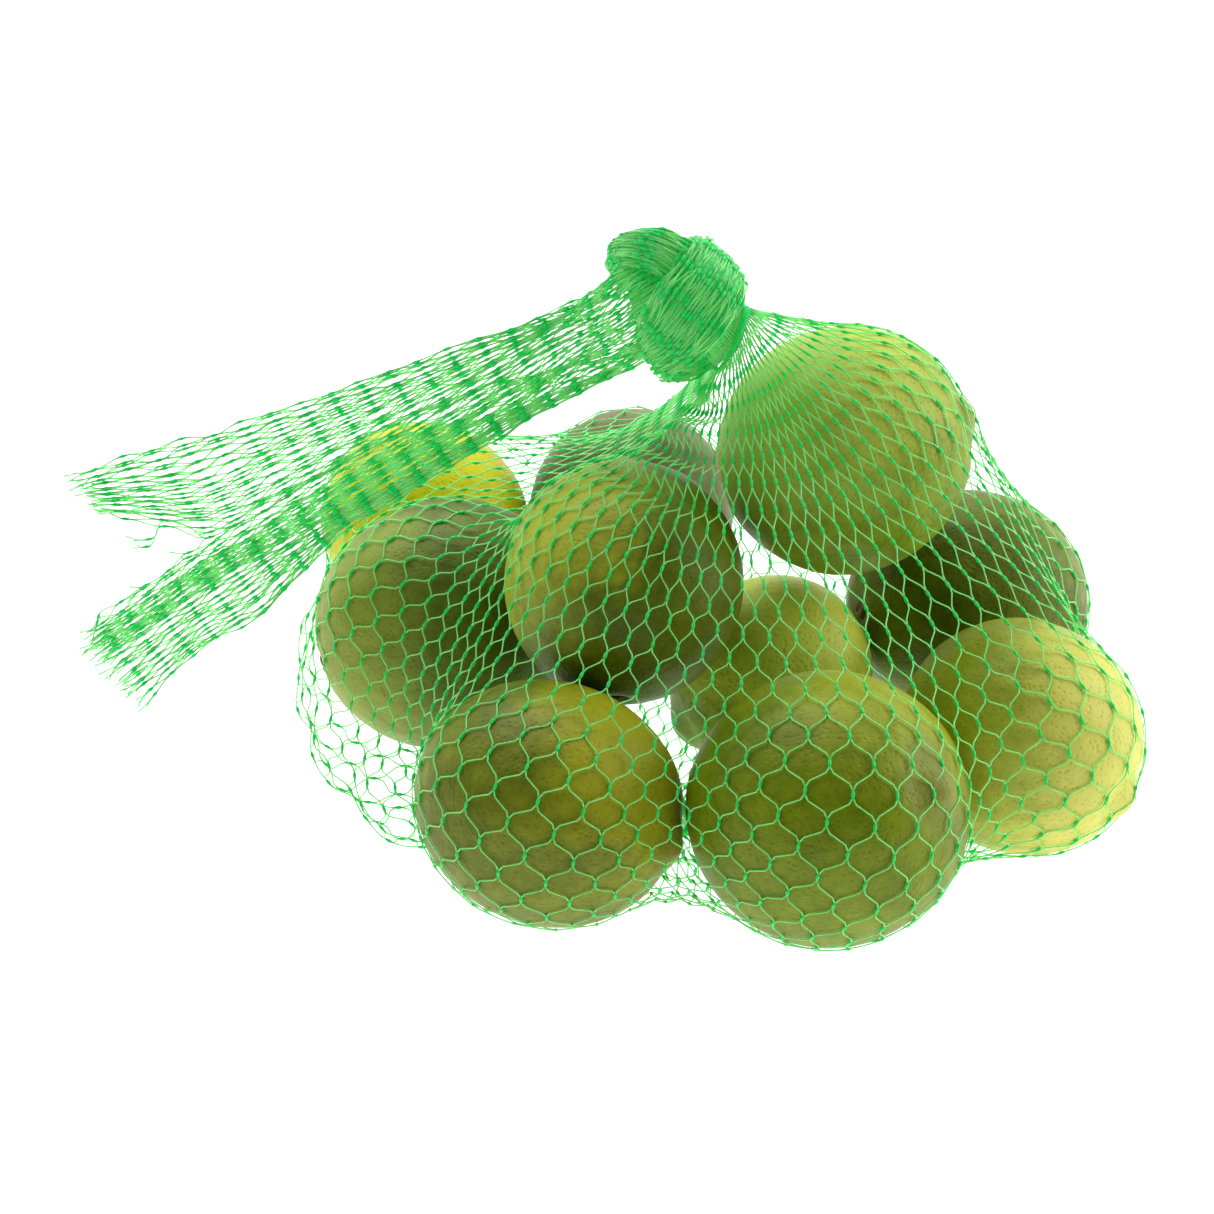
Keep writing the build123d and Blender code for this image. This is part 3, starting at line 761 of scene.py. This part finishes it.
def net_piece(name, lattice, first, second, joints, ends=None, free=False):
    """A piece of net with the chosen first strands, second strands and joints, and any loose ends."""
    down = along_sleeve(lattice)
    parts = []
    for chosen, is_second in ((first, False), (second, True)):
        paths = strand_paths(lattice, down, is_second)[chosen]
        if free:
            paths = pushed_out(paths.reshape(-1, 3), STRAND_GAP).reshape(paths.shape)
            paths[..., 2] = np.maximum(paths[..., 2], TABLE_GAP / 2)
        parts.append(strand_group(paths))
    if ends is not None:
        parts.append(strand_group(ends))
    reach = np.linspace(-JOINT_REACH, JOINT_REACH, len(JOINT_RADII))[:, None]
    spindles = (lattice[..., None, :] + down[..., None, :] * reach)[joints]
    points, faces = tubes(spindles, np.broadcast_to(JOINT_RADII, spindles.shape[:2]), JOINT_SIDES)
    parts.append((points, faces, np.ones(len(points))))
    points, faces, marks = joined(parts)
    piece = make_piece(name, points, faces)
    attribute = piece.data.attributes.new("joint", "FLOAT", "POINT")
    attribute.data.foreach_set("value", marks.astype(np.float32))
    piece.data.materials.append(net_plastic)
    print(name, "faces", len(piece.data.polygons))
    return piece


# %% Loose ends and the cut size
chance = np.random.default_rng(7)


def loose_ends(starts, ways, length, splay):
    """Two cut ends at each joint, bent a little away from its own direction."""
    share = np.linspace(0, 1, len(STRAND_RADII))[None, :, None]
    ends = []
    for _ in range(2):
        far = (length * chance.uniform(0.45, 1.0, len(starts)))[:, None, None]
        aside = (chance.normal(size=ways.shape) * splay)[:, None]
        ends.append(starts[:, None] + ways[:, None] * (JOINT_HALF + share * far) + aside * share ** 1.6 * far)
    return np.concatenate(ends)


# %% [markdown]
# The plastic is dyed right through. Drawn out thin it is pale, and at the welds, where it is three times as
# thick, the same dye looks a strong green. Light scatters through it, but the scattering alone left the knot
# darker than such a net looks, so a faint glow of the dye's own colour, chosen by its look, is added.

# %% Net finish
GLOW = 0.12


def net_finish():
    plastic = Finish("net_plastic")
    near = plastic.node("ShaderNodeAttribute", {"attribute_name": "joint"}, output="Fac")
    cloud = plastic.speckle(9.0, 2.0)
    grain = plastic.speckle(0.8, 2.0)
    strand = plastic.tint(cloud, (0.15, 0.70, 0.16), (0.27, 0.82, 0.26))
    joint = plastic.tint(grain, (0.01, 0.60, 0.10), (0.04, 0.80, 0.18))
    dye = plastic.tint(plastic.fit(near, 0.15, 0.9), strand, joint)
    plastic.set(Base_Color=dye, Emission_Color=dye, Emission_Strength=GLOW,
                Roughness=0.42 + (grain - 0.5) * 0.2, Specular_IOR_Level=0.3,
                Subsurface_Weight=1.0, Subsurface_Scale=0.6 * MM, Subsurface_Radius=(0.8, 1.0, 0.8),
                Normal=plastic.bump(grain, 0.02))
    return plastic.material


net_plastic = net_finish()

# %% Bag net
whole = np.ones((ROWS + 1, MESHES_ROUND), bool)
front = whole & (np.arange(MESHES_ROUND) >= MESHES_ROUND // 2)
for name, part in (("net_front", front), ("net_back", ~front)):
    piece = net_piece(name, bag, part[:-1], part[:-1], part, free=True)
    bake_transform(piece)
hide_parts("bag_net", "neck_gather")

# %% [markdown]
# ## The gather and its clip
# Under the heap the sleeve's lower end is drawn together, passed through a band of thin metal and squeezed.
# The cut end spreads on the table below. One more row of joints and a tuft of loose ends make it.

# %% Gather
TUFT_HEIGHT = 3.2
TUFT_RADIUS = 3.4
TUFT_END = 4.5
TUFT_SPLAY = 0.25
turn_even = 2 * pi * np.arange(MESHES_ROUND) / MESHES_ROUND
turn_odd = turn_even + pi / MESHES_ROUND
tuft_out = np.stack([np.cos(turn_odd), np.sin(turn_odd), 0 * turn_odd], axis=-1)
tuft_row = CLIP + tuft_out * (TUFT_RADIUS * chance.uniform(0.55, 1.0, MESHES_ROUND))[:, None]
tuft_row[:, 2] = TUFT_HEIGHT - chance.uniform(0.0, 1.2, MESHES_ROUND)
waist = np.concatenate([bag[-1:], tuft_row[None]])
tuft_way = unit(tuft_out + np.array([0.0, 0.0, -0.35]))
tuft = loose_ends(tuft_row, tuft_way, TUFT_END, TUFT_SPLAY)
tuft[..., 2] = np.maximum(tuft[..., 2], TABLE_GAP / 2)
every = np.ones((1, MESHES_ROUND), bool)
gather = net_piece("net_gather", waist, every, every, np.vstack([~every, every]), ends=tuft)
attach(gather, "bag")
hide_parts("bottom_gather")


# %% Clip metal
def clip_finish():
    metal = Finish("clip_metal")
    brushed = metal.node("ShaderNodeTexNoise", None,
                         {"Vector": metal.stretched((1, 1, 12)), "Scale": 900.0, "Detail": 3.0})
    worn = metal.speckle(2.5, 3.0)
    metal.set(Base_Color=metal.tint(worn, (0.62, 0.63, 0.64), (0.80, 0.81, 0.82)), Metallic=1.0,
              Roughness=0.24 + brushed * 0.22, Normal=metal.bump(brushed, 0.03))
    return metal.material


clip = frame["nodes"]["bottom_clip"]
for slot in clip.material_slots:
    slot.material = clip_finish()

# %% [markdown]
# ## The knot
# The sleeve is bunched to a flat rope and tied in an overhand knot: it climbs behind, folds over the top left,
# turns down the right, passes under, comes up in front as the big right-hand turn, and leaves through the
# middle to the left. The path below is that rope as it lies seen from the front: to the right, up, towards
# the viewer, then half its width and half its thickness, and the lean of its width. The lattice of the net is
# wrapped on this rope, so each strand really follows the turns, and a plain swept body fills the heart of it.

# %% The knot's path
turns = [np.array(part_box(node)) / MM for node in ("knot_turn_right", "knot_turn_left")]
KNOT = np.mean([box.mean(axis=0) for box in turns], axis=0)
tail_joint = next(joint for joint in frame["joints"] if joint["name"] == "tail_lift")
TAIL_ROOT = np.array(tail_joint["pos_m"]) / MM
ACROSS_VIEW = np.array([1.0, 0.0, 0.0])
# right, up, towards the viewer, half width, half thickness, lean in degrees
KNOT_STOPS = np.array([
    (11.8, -8.5, -5.1, 8.0, 5.5, 62),
    (6.0, -3.5, -5.5, 6.0, 4.5, 62),
    (-3.0, 4.0, -7.0, 5.5, 4.0, 50),
    (-10.5, 7.5, -3.5, 5.0, 4.0, 50),
    (-11.3, 9.5, 2.0, 4.5, 3.5, 60),
    (-6.0, 10.0, 6.5, 4.8, 3.2, 63),
    (1.0, 6.5, 5.5, 5.5, 3.5, 55),
    (8.0, 0.5, -1.0, 6.0, 3.5, 20),
    (7.5, -7.5, -7.0, 6.5, 3.0, -20),
    (0.0, -11.5, -5.0, 6.5, 3.0, -80),
    (-4.5, -12.0, 3.0, 6.5, 3.0, -60),
    (-1.5, -9.0, 9.0, 8.0, 3.0, -45),
    (3.0, -3.0, 11.0, 9.0, 3.0, -38),
    (7.5, 4.0, 8.5, 8.5, 3.0, -38),
    (8.0, 8.2, 1.0, 7.0, 3.0, -45),
    (4.0, 7.0, -7.0, 6.0, 3.5, -50),
    (-2.0, 3.0, -6.0, 5.0, 4.0, -50),
    (0.0, 2.0, 0.0, 6.0, 4.0, -45),
    (-3.0, 0.5, 4.5, 8.5, 4.0, -48),
    (-7.5, -2.5, 4.5, 9.8, 4.0, -52),
    (-12.5, -6.0, 0.5, 9.5, 4.0, -55),
    (-18.2, -8.6, -5.1, 9.5, 3.5, -57.6),
])


def smooth_through(stops, steps=24):
    """A smooth curve through rows of numbers (Catmull-Rom)."""
    rows = np.vstack([2 * stops[0] - stops[1], stops, 2 * stops[-1] - stops[-2]])
    share = np.linspace(0, 1, steps, endpoint=False)[:, None]
    spans = [0.5 * (2 * b + (c - a) * share + (2 * a - 5 * b + 4 * c - d) * share ** 2
                    + (3 * b - a - 3 * c + d) * share ** 3)
             for a, b, c, d in zip(rows, rows[1:], rows[2:], rows[3:])]
    return np.vstack(spans + [stops[-1:]])


knot_curve = smooth_through(KNOT_STOPS)
knot_line = (KNOT + knot_curve[:, :1] * ACROSS_VIEW + knot_curve[:, 1:2] * UP_VIEW
             + knot_curve[:, 2:3] * TO_VIEWER)
knot_reach = np.concatenate([[0], np.cumsum(np.linalg.norm(np.diff(knot_line, axis=0), axis=1))])
KNOT_LENGTH = knot_reach[-1]
print("rope in the knot", round(KNOT_LENGTH, 1), "mm")


def knot_sections(reach):
    """Centre and the two half axes of the rope at distances from the mouth."""
    def at(values):
        return np.stack([np.interp(reach, knot_reach, values[:, k]) for k in range(values.shape[1])], axis=-1)

    run = unit(at(unit(np.gradient(knot_line, axis=0))))
    half_width, half_thickness, lean_angle = at(knot_curve[:, 3:]).T
    lean_angle = np.radians(lean_angle)[:, None]
    wide = np.cos(lean_angle) * ACROSS_VIEW + np.sin(lean_angle) * UP_VIEW
    wide = unit(wide - (wide * run).sum(axis=-1, keepdims=True) * run)
    thick = np.cross(run, wide)
    start = 1 - ease(reach / (2 * STRAND))[:, None]
    wide = wide * half_width[:, None] * (1 - start) + MOUTH_UP * MOUTH_HALF * start
    thick = thick * half_thickness[:, None] * (1 - start) + np.array([0, MOUTH_DEPTH, 0]) * start
    centre = at(knot_line) + np.maximum(reach - KNOT_LENGTH, 0)[:, None] * TAIL_ALONG
    return centre, wide, thick


# %% [markdown]
# ## The tail
# Past the knot the sleeve is flat: two layers with a fold along the middle, and further out it is torn into
# two leaves. Its section is drawn as a closed line of a few corners, each with the mesh that lies there. Then
# every mesh of the sleeve finds its own place between two corners, and rows stay rows right across the fold.

# %% The tail's section
TAIL_SLOPE = radians(28.5)
TAIL_ALONG = np.array([-cos(TAIL_SLOPE), 0.0, -sin(TAIL_SLOPE)])
TAIL_UP = np.array([-sin(TAIL_SLOPE), 0.0, cos(TAIL_SLOPE)])
TAIL_UPPER = np.array([(-9, 4.8), (16.6, 7.3), (56, 11.5), (118, 21.7), (140, 25)])
TAIL_LOWER = np.array([(-5, -17), (13.6, -14.6), (73, -19.7), (101, -30.4), (116.5, -30.9), (137, -37)])
TAIL_FOLD = np.array([(0, -7.5), (10, -7.9), (38, -9.8), (61.5, -11.7), (103, -15.1), (132, -19.3)])
NOTCH = 96.0
NOTCH_UPPER = np.array([(0, -1.0), (NOTCH, -6.4), (122, 12.8), (140, 14)])
NOTCH_LOWER = np.array([(0, -1.0), (NOTCH, -6.4), (140, -13.8)])
UPPER_END = 119.0
LOWER_END = 139.0
UPPER_MESHES = (11, 53)
# mesh number, line that the corner follows, how far above that line, how far back from the middle
CORNERS = [(0, TAIL_UPPER, 0, 0.0), (11, NOTCH_UPPER, 0, 1.2), (12, NOTCH_LOWER, 0, 1.3),
           (17, TAIL_FOLD, -3, 2.2), (23, TAIL_FOLD, 4, 0.8), (27, TAIL_FOLD, -2, -0.4),
           (36, TAIL_LOWER, 0, 0.0), (44, TAIL_FOLD, -3, -1.2), (49, TAIL_FOLD, 3, -2.2),
           (52, NOTCH_LOWER, 0, -1.5), (53, NOTCH_UPPER, 0, -1.4), (64, TAIL_UPPER, 0, 0.0)]


def tail_place(reach, mesh):
    """Where the meshes with these numbers lie at a distance past the tail's root."""
    numbers = [corner[0] for corner in CORNERS]
    heights = [np.interp(reach, line[:, 0], line[:, 1]) + above for _, line, above, _ in CORNERS]
    up = np.interp(mesh, numbers, heights)
    back = np.interp(mesh, numbers, [corner[3] for corner in CORNERS])
    return TAIL_ROOT + TAIL_ALONG * reach + TAIL_UP * up[:, None] + np.array([0.0, 1.0, 0.0]) * back[:, None]


# %% Rows from the mouth to the ends of the tail
PITCH = 7.0
KNOT_JITTER = 1.5
TAIL_JITTER = 0.5
BUNCHING = 0.22
TAIL_BLEND = (-5.0, 25.0)
HALF_ROUND = MESHES_ROUND // 2
reaches = np.arange(0, KNOT_LENGTH + LOWER_END, PITCH)
beyond = reaches - KNOT_LENGTH
rows = []
mesh_numbers = []
for row, reach in enumerate(reaches):
    number = np.arange(MESHES_ROUND) + 0.5 * (row % 2)
    turn = 2 * pi * number / MESHES_ROUND
    in_tail = ease((beyond[row] - TAIL_BLEND[0]) / (TAIL_BLEND[1] - TAIL_BLEND[0]))
    wander = 0 if row == 0 else KNOT_JITTER + (TAIL_JITTER - KNOT_JITTER) * in_tail
    centre, wide, thick = knot_sections(reach + chance.uniform(-wander, wander, MESHES_ROUND))
    sunk = 1 - chance.uniform(0.0, BUNCHING, MESHES_ROUND)[:, None] if row else 1.0
    rope = centre + sunk * (wide * np.cos(turn)[:, None] + thick * np.sin(turn)[:, None])
    number = (number + HALF_ROUND) % MESHES_ROUND
    flat = tail_place(beyond[row], number) + chance.uniform(-1, 1, (MESHES_ROUND, 3)) * TAIL_JITTER
    rows.append(rope * (1 - in_tail) + flat * in_tail)
    mesh_numbers.append(number)
sleeve = np.array(rows)
sleeve[0] = bag[0]
mesh_numbers = np.array(mesh_numbers)
print("sleeve rows above the mouth", len(sleeve))

# %% Which strands are torn
in_upper = (mesh_numbers <= UPPER_MESHES[0] + 0.5) | (mesh_numbers >= UPPER_MESHES[1] - 0.5)
there = np.where(in_upper, beyond[:, None] < UPPER_END, beyond[:, None] < LOWER_END)
torn = beyond[:-1, None] > NOTCH - PITCH
links = []
for second in (False, True):
    lower_there = (other_below(there[..., None])[..., 0] if second else there[1:])
    lower_side = (other_below(in_upper[..., None])[..., 0] if second else in_upper[1:])
    links.append(there[:-1] & lower_there & ~(torn & (lower_side != in_upper[:-1])))

# %% Knot and tail
KNOT_END = 8.0
ROW_END, ROW_SPLAY = 6.0, 0.16
TEAR_END, TEAR_SPLAY = 3.0, 0.35
down = along_sleeve(sleeve)
is_knot = (reaches[:-1] < KNOT_LENGTH - KNOT_END)[:, None]
knot_joints = there & np.concatenate([[False], reaches[1:] < KNOT_LENGTH - KNOT_END])[:, None]
tail_joints = there & (reaches >= KNOT_LENGTH - KNOT_END)[:, None]
knot = net_piece("net_knot", sleeve, links[0] & is_knot, links[1] & is_knot, knot_joints)
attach(knot, "knot")

last_row = there.copy()
last_row[:-1] &= ~there[1:]
edge = np.zeros_like(there)
edge[:-1] = there[:-1] & ~(links[0] & links[1]) & ~is_knot
edge &= ~last_row
ends = np.concatenate([loose_ends(sleeve[last_row], down[last_row], ROW_END, ROW_SPLAY),
                       loose_ends(sleeve[edge], down[edge], TEAR_END, TEAR_SPLAY)])
tail = net_piece("net_tail", sleeve, links[0] & ~is_knot, links[1] & ~is_knot, tail_joints, ends=ends)
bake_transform(tail)
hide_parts("tail_root", "tail_upper_leaf", "tail_lower_leaf")

# %% Heart of the knot
HEART_FROM = 24.0
HEART_SHORT = 14.0
HEART_SCALE = 0.80
HEART_SIDES = 64
HEART_STEPS = 170


def make_heart():
    reach = np.linspace(HEART_FROM, KNOT_LENGTH - HEART_SHORT, HEART_STEPS)
    centre, wide, thick = knot_sections(reach)
    turn = 2 * pi * np.arange(HEART_SIDES) / HEART_SIDES
    ridge = 0.03 * np.sin(9 * turn + reach[:, None] / 9) + 0.02 * np.sin(21 * turn - reach[:, None] / 5)
    ends = np.sqrt(np.clip(1 - np.linspace(-1, 1, HEART_STEPS) ** 20, 0.02, 1))[:, None]
    size = (HEART_SCALE * ends * (1 + ridge))[..., None]
    rings = centre[:, None] + size * (wide[:, None] * np.cos(turn)[:, None]
                                      + thick[:, None] * np.sin(turn)[:, None])
    index = np.arange(HEART_STEPS * HEART_SIDES).reshape(HEART_STEPS, HEART_SIDES)
    return make_piece("knot_heart", rings.reshape(-1, 3), [ring_walls(index), index[:1, ::-1], index[-1:]])


def heart_finish():
    packed = Finish("packed_net")
    fibres = packed.speckle(0.9, 4.0, 0.7)
    dye = packed.tint(packed.fit(fibres, 0.3, 0.7), (0.01, 0.52, 0.07), (0.05, 0.85, 0.18))
    packed.set(Base_Color=dye, Emission_Color=dye, Emission_Strength=GLOW, Roughness=0.6,
               Normal=packed.bump(fibres, 0.25))
    return packed.material


heart = make_heart()
heart.data.materials.append(heart_finish())
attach(heart, "knot")
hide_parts("knot_core", "knot_turn_right", "knot_turn_left")
